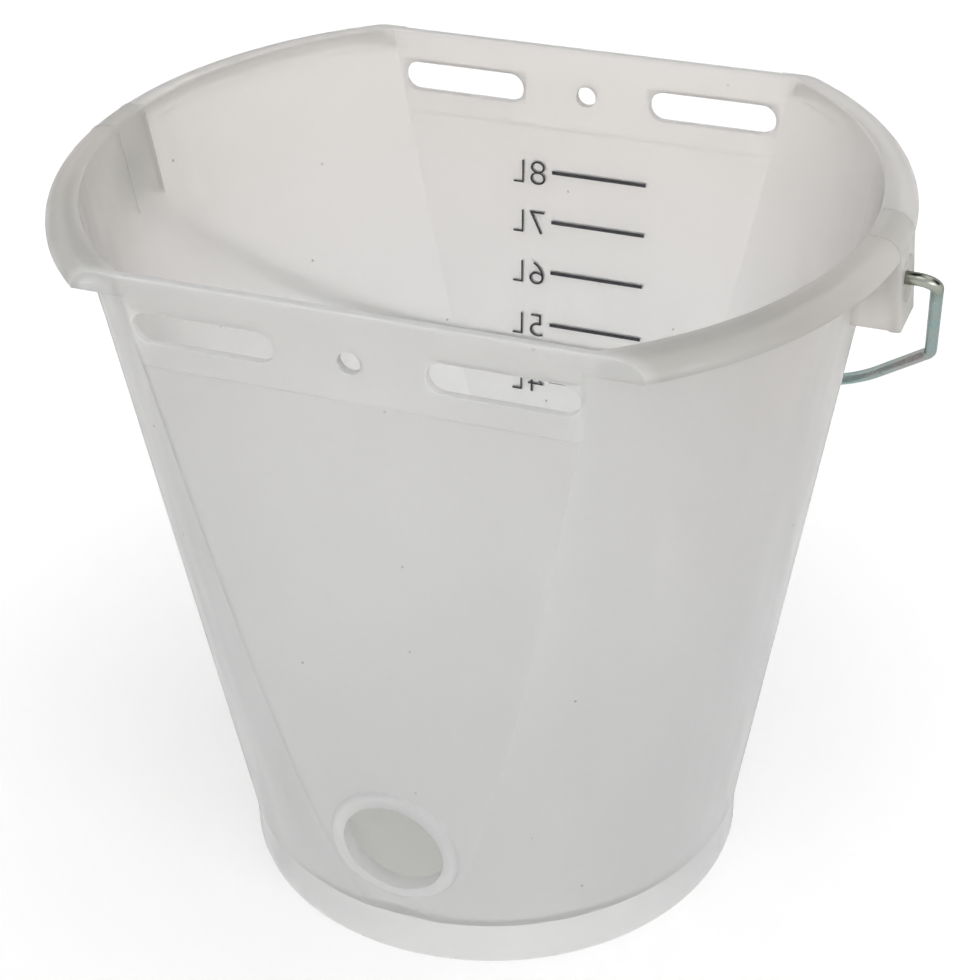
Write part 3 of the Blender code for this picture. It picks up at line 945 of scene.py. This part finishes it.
LITRE_HEIGHTS = (0.0524, 0.0827, 0.1108, 0.1371, 0.1627, 0.1859, 0.2078, 0.2289)
DIGIT = (-0.0153, 1.08)  # left edge along X, and width against the typeface's
LITRE_SIGN = (-0.0242, 0.78)
CAPITAL_SHARE = 0.72  # height of a digit against the size of the type
SIGN_DROP = 0.0016  # how far the signs' middle lies below their line


def back_place(x, z):
    """A place on the outer face of the back, read from outside: own +X to the reader's right."""
    normal = Vector((0, 1, -flat_taper())).normalized()
    right = Vector((-1, 0, 0))
    turn = Matrix((right, normal.cross(right), normal)).transposed().to_4x4()
    return Matrix.Translation(Vector((x, flat_at(z), z)) + normal * 0.00002) @ turn


def sign_mesh(sign, depth):
    """A digit or letter as a mesh, which is as thick as the wall and the ink."""
    sizes = bpy.context.scene.bucket_scale
    words = bpy.data.curves.new("mark", "FONT")
    words.body = sign
    words.size = sizes.digit_height / CAPITAL_SHARE
    words.offset = -sizes.stroke_trim
    words.extrude = (depth + sizes.ink) / 2
    words.align_x = "LEFT"
    words.align_y = "CENTER"
    letter = bpy.data.objects.new("mark", words)
    mesh = bpy.data.meshes.new_from_object(letter)
    bpy.data.objects.remove(letter)
    bpy.data.curves.remove(words)
    return mesh


def print_scale():
    sizes = bpy.context.scene.bucket_scale
    # The ink shows just as sharp inside as outside, so each mark goes right through the wall
    depth = body_sizes().wall + sizes.ink
    sunk = Matrix.Translation((0, 0, (sizes.ink - depth) / 2))
    whole = bmesh.new()
    for number, z in enumerate(LITRE_HEIGHTS, start=1):
        line = box_form((-sizes.line_end, -sizes.line_width / 2, -depth),
                        (-sizes.line_start, sizes.line_width / 2, sizes.ink))
        bmesh.ops.transform(line, matrix=back_place(0.0, z), verts=line.verts)
        absorb(whole, line)
        for sign, (x, stretch) in ((str(number), DIGIT), ("L", LITRE_SIGN)):
            mesh = sign_mesh(sign, depth)
            mesh.transform(back_place(x, z - SIGN_DROP) @ sunk
                           @ Matrix.Diagonal((stretch, 1.0, 1.0, 1.0)))
            whole.from_mesh(mesh)
            bpy.data.meshes.remove(mesh)
    faces_out(whole)
    bmesh.ops.dissolve_degenerate(whole, edges=whole.edges, dist=SNAP)
    return as_object("litre_scale", whole)


# The bail

def bail_line():
    """Corners of the wire's middle line from head to head, and the radius of each bend."""
    sizes = bail_sizes()
    right = [Vector((sizes.head_reach - sizes.head_thickness / 2, 0, 0)),
             Vector((sizes.arm_reach, 0, 0)),
             Vector((sizes.arm_reach - sizes.arm_lean, 0, -sizes.arm_length)),
             Vector((sizes.bow_shoulder, 0, -sizes.bow_reach))]
    bends = [sizes.hinge_bend, sizes.arm_bend, sizes.bow_bend]
    return right + [Vector((-p.x, 0, p.z)) for p in reversed(right)], bends + bends[::-1]


def push(bm, tip, travel):
    """Extrude the wire's end face along a straight line."""
    made = bmesh.ops.extrude_face_region(bm, geom=tip)["geom"]
    bmesh.ops.translate(bm, verts=of_kind(made, BMVert), vec=travel)
    bmesh.ops.delete(bm, geom=[face for face in tip if face.is_valid], context="FACES_ONLY")
    return of_kind(made, BMFace)


def wire_head(side):
    """The flattened head at one end of the wire."""
    sizes = bail_sizes()
    start = side * sizes.head_reach - (sizes.head_thickness if side > 0 else 0)
    bm = drum(sizes.head_diameter / 2, sizes.head_thickness, along_x(start, 0), 40)
    round_edges(bm, sharp_edges(bm, 60), 0.0005, 3)
    faces_out(bm)
    return bm


def bend_bail():
    """Extrude and bend the wire from one head to the other, then hang it against the back."""
    sizes = bail_sizes()
    corners, bends = bail_line()
    here = corners[0]
    bm = bmesh.new()
    bmesh.ops.create_circle(bm, cap_ends=True, segments=28, radius=sizes.wire / 2,
                            matrix=along_x(here.x, 0))
    tip = bm.faces[:]
    for before, corner, after, radius in zip(corners, corners[1:], corners[2:], bends):
        a, b = (before - corner).normalized(), (after - corner).normalized()
        between = a.angle(b)
        reach = radius / math.tan(between / 2)
        tip = push(bm, tip, corner + a * reach - here)
        centre = corner + (a + b).normalized() * (radius / math.sin(between / 2))
        sweep = math.pi - between
        made = bmesh.ops.spin(bm, geom=tip, cent=centre, axis=(-a).cross(b).normalized(),
                              angle=sweep, steps=max(10, round(math.degrees(sweep) / 4)))
        old, tip = tip, of_kind(made["geom_last"], BMFace)
        bmesh.ops.delete(bm, geom=old, context="FACES_ONLY")
        here = corner + b * reach
    push(bm, tip, corners[-1] - here)
    bmesh.ops.holes_fill(bm, edges=[edge for edge in bm.edges if edge.is_boundary], sides=0)
    faces_out(bm)
    wire = as_object("wire_bail", bm)
    for side in (1, -1):
        combine(wire, wire_head(side), "UNION", "head")
    height = hinge_height()
    lean = math.atan(flat_taper())
    to_wall = flat_at(height) * math.cos(lean)
    angle = math.asin((to_wall + sizes.wire / 2 + sizes.rest_gap) / sizes.bow_reach) - lean
    wire.data.transform(Matrix.Translation((0, 0, height)) @ Matrix.Rotation(angle, 4, "X"))
    return wire


# The stage

SENSOR = 36.0
LENS = 2231.868 / 980 * SENSOR  # the fitted lens, in pixels of a picture 980 wide
TARGET = Vector((0.00043, 0.0, 0.14783))
DISTANCE = 0.83837
AZIMUTH, ELEVATION, ROLL = math.radians(21.983), math.radians(32.351), math.radians(-1.413)
GLOW = {"Is Camera Ray": 0.36, "Is Glossy Ray": 0.70, "Is Transmission Ray": -0.15}


def aimed(place, axis):
    """A place whose given axis points at the middle of the bucket."""
    turn = (TARGET - Vector(place)).to_track_quat(axis, "Y").to_matrix().to_4x4()
    return Matrix.Translation(place) @ turn


def set_camera():
    toward = Vector((math.sin(AZIMUTH) * math.cos(ELEVATION),
                     -math.cos(AZIMUTH) * math.cos(ELEVATION), math.sin(ELEVATION)))
    right = (-toward).cross(UP).normalized()
    up = right.cross(-toward)
    turned_right = right * math.cos(ROLL) + up * math.sin(ROLL)
    turned_up = up * math.cos(ROLL) - right * math.sin(ROLL)
    data = bpy.data.cameras.new("photo_camera")
    data.sensor_width = SENSOR
    data.lens = LENS
    data.clip_start, data.clip_end = 0.01, 50.0
    camera = bpy.data.objects.new("photo_camera", data)
    camera.matrix_world = (Matrix.Translation(TARGET + toward * DISTANCE)
                           @ Matrix((turned_right, turned_up, toward)).transposed().to_4x4())
    bpy.context.scene.collection.objects.link(camera)
    bpy.context.scene.camera = camera


def set_floor():
    floor = sheet("studio_floor", 12.0)
    made, tree, shader = new_material("studio_floor")
    set_inputs(tree, shader, {"Base Color": (*colours().floor, 1.0), "Roughness": 0.9,
                              "Specular IOR Level": 0.1})
    # The floor glows to full white for the camera, and less in what plastic and wire show of it
    rays = add_node(tree, "LightPath", {})
    # The camera's glow grows away from the bucket: painted light that whitens the far floor, while
    # the shadow near the bucket stays
    away = how_far(tree, object_pattern(tree))
    edge = spread(tree, away, 0.0, 0.22, 0.13, 0.42)
    total = calc(tree, "MULTIPLY", rays["Is Camera Ray"], edge)
    for kind, weight in GLOW.items():
        total = calc(tree, "MULTIPLY_ADD", rays[kind], weight, total)
    glow = add_node(tree, "Emission", {"Strength": total})["Emission"]
    lit = add_node(tree, "AddShader", {0: shader.outputs["BSDF"], 1: glow})["Shader"]
    set_inputs(tree, tree.nodes["Material Output"], {"Surface": lit})
    floor.data.materials.append(made)


def set_cards():
    """Dark studio cards above and to the right, seen only as reflections in the wire."""
    made, tree, shader = new_material("studio_card")
    set_inputs(tree, shader, {"Base Color": (0.01, 0.01, 0.01, 1.0), "Roughness": 1.0})
    for name, place, size in (("card_above", (-0.15, 0.35, 2.3), 1.25),
                              ("card_right", (1.75, 0.70, 0.68), 0.62)):
        card = sheet(name, size)
        card.data.transform(aimed(place, "Z"))
        card.data.materials.append(made)
        for kind in ("camera", "diffuse", "transmission", "shadow"):
            setattr(card, "visible_" + kind, False)


def set_world():
    """White all round, at full strength only for the camera, reflections and clear plastic."""
    world = bpy.data.worlds.new("studio")
    world.use_nodes = True
    tree = world.node_tree
    rays = add_node(tree, "LightPath", {})
    direct = calc(tree, "ADD", rays["Is Camera Ray"], rays["Is Glossy Ray"])
    seen = add_node(tree, "Math", {0: direct, 1: rays["Is Transmission Ray"]},
                    operation="ADD", use_clamp=True)[0]
    set_inputs(tree, tree.nodes["Background"], {"Color": (1.0, 1.0, 1.0, 1.0),
                                                "Strength": spread(tree, seen, 0.46, 1.0)})
    bpy.context.scene.world = world


def set_lamps():
    for name, place, size, power in (("back_lamp", (0.9, 0.5, 1.6), 1.2, 2.4),
                                     ("front_lamp", (0.5, -0.9, 1.7), 1.2, 4.6),
                                     ("low_left_lamp", (-0.7, -1.3, 0.12), 0.8, 6.0),
                                     ("low_right_lamp", (1.5, -0.6, 0.12), 0.8, 7.4)):
        data = bpy.data.lights.new(name, "AREA")
        data.shape = "DISK"
        data.size = size
        data.energy = power
        lamp = bpy.data.objects.new(name, data)
        lamp.matrix_world = aimed(place, "-Z")
        bpy.context.scene.collection.objects.link(lamp)


# Operators, panel and registration

class BUCKET_OT_mould_body(bpy.types.Operator):
    """Model the moulded body with its rim, ears, slots and holes."""
    bl_idname = "bucket.mould_body"
    bl_label = "Mould Body"

    def execute(self, context):
        body = mould_body()
        body.data.materials.clear()
        body.data.materials.append(natural_plastic())
        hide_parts("bucket_body")
        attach(body, "bucket")
        return {"FINISHED"}


class BUCKET_OT_print_scale(bpy.types.Operator):
    """Print the litre scale on the outside of the back."""
    bl_idname = "bucket.print_scale"
    bl_label = "Print Scale"

    def execute(self, context):
        marks = print_scale()
        marks.data.materials.append(scale_ink())
        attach(marks, "bucket")
        return {"FINISHED"}


class BUCKET_OT_bend_bail(bpy.types.Operator):
    """Bend the wire bail and hang it in the ears."""
    bl_idname = "bucket.bend_bail"
    bl_label = "Bend Bail"

    def execute(self, context):
        wire = bend_bail()
        smooth(wire, 40)
        wire.data.materials.append(zinc_wire())
        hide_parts("bail")
        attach(wire, "bail")
        return {"FINISHED"}


class BUCKET_OT_set_stage(bpy.types.Operator):
    """Set the floor, the light and the camera."""
    bl_idname = "bucket.set_stage"
    bl_label = "Set Stage"

    def execute(self, context):
        set_camera()
        set_floor()
        set_cards()
        set_world()
        set_lamps()
        context.scene.view_settings.view_transform = "Standard"
        return {"FINISHED"}


class BUCKET_PT_panel(bpy.types.Panel):
    """Lists the steps that build the bucket."""
    bl_idname = "BUCKET_PT_panel"
    bl_label = "Calf Feeding Bucket"
    bl_space_type = "VIEW_3D"
    bl_region_type = "UI"
    bl_category = "Bucket"

    def draw(self, context):
        for step in STEPS:
            self.layout.operator(step.bl_idname)
        for group in GROUPS:
            box = self.layout.box()
            values = getattr(context.scene, group)
            for name in values.bl_rna.properties.keys():
                if name not in {"rna_type", "name"}:
                    box.prop(values, name)


STEPS = (BUCKET_OT_mould_body, BUCKET_OT_print_scale, BUCKET_OT_bend_bail, BUCKET_OT_set_stage)
GROUPS = {
    "bucket_body": BucketBodySizes,
    "bucket_rim": BucketRimSizes,
    "bucket_holes": BucketHoleSizes,
    "bucket_bail": BucketBailSizes,
    "bucket_scale": BucketScaleSizes,
    "bucket_colours": BucketColours,
}
CLASSES = (*GROUPS.values(), *STEPS, BUCKET_PT_panel)


def register():
    for kind in CLASSES:
        bpy.utils.register_class(kind)
    for name, group in GROUPS.items():
        setattr(bpy.types.Scene, name, bpy.props.PointerProperty(type=group))


def unregister():
    for name in GROUPS:
        delattr(bpy.types.Scene, name)
    for kind in reversed(CLASSES):
        bpy.utils.unregister_class(kind)


def main():
    register()
    bpy.ops.bucket.mould_body()
    bpy.ops.bucket.print_scale()
    bpy.ops.bucket.bend_bail()
    bpy.ops.bucket.set_stage()


if __name__ == "__main__":
    main()
